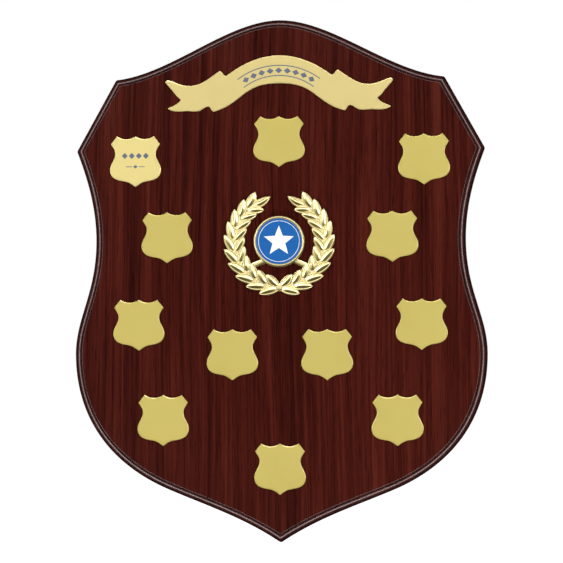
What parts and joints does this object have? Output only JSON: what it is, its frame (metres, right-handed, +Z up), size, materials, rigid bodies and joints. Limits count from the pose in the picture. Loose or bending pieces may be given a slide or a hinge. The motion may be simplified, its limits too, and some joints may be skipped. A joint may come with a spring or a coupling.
{
  "type": "perpetual award shield",
  "caption": "Shield-shaped wooden award plaque with a moulded edge, gilt name plates, a scroll title plate and a laurel wreath round a printed centre; hangs from a keyhole plate.",
  "frame": {"origin": "centre of the keyhole plate's round entry hole, on the wall plane", "axes": "+X to the viewer's right, +Y from the front to the wall, +Z up; the front faces -Y"},
  "size_m": [0.2274, 0.0196, 0.2884],
  "materials": {
    "stained_core": "dark stained and lacquered edge",
    "mahogany_veneer": "gloss lacquer over straight vertical grain",
    "backing": "matt balancing veneer",
    "hanger_steel": "zinc plated",
    "screw_steel": "zinc plated",
    "gilt_scroll": "satin gilt",
    "gilt_plate": "satin gilt",
    "gilt_engraved": "bright gilt, engraved",
    "gilt_casting": "polished gilt casting",
    "disc_metal": "plain",
    "printed_label": null,
    "foam_tape": "white foam tape"
  },
  "bodies": {
    "root": {"board_core": "stained_core", "face_veneer": "mahogany_veneer", "back_sheet": "backing", "hanger_plate": "hanger_steel", "hanger_screw_upper": "screw_steel", "hanger_screw_lower": "screw_steel", "scroll_plate": "gilt_scroll", "scroll_tape": "foam_tape", "wreath": "gilt_casting", "wreath_tape": "foam_tape", "centre_disc": "disc_metal", "centre_label": "printed_label", "name_plate_01": "gilt_plate", "name_plate_02": "gilt_engraved", "name_plate_03": "gilt_plate", "name_plate_04": "gilt_plate", "name_plate_05": "gilt_plate", "name_plate_06": "gilt_plate", "name_plate_07": "gilt_plate", "name_plate_08": "gilt_plate", "name_plate_09": "gilt_plate", "name_plate_10": "gilt_plate", "name_plate_11": "gilt_plate", "name_plate_12": "gilt_plate", "name_plate_tape_01": "foam_tape", "name_plate_tape_02": "foam_tape", "name_plate_tape_03": "foam_tape", "name_plate_tape_04": "foam_tape", "name_plate_tape_05": "foam_tape", "name_plate_tape_06": "foam_tape", "name_plate_tape_07": "foam_tape", "name_plate_tape_08": "foam_tape", "name_plate_tape_09": "foam_tape", "name_plate_tape_10": "foam_tape", "name_plate_tape_11": "foam_tape", "name_plate_tape_12": "foam_tape"}
  },
  "joints": []
}
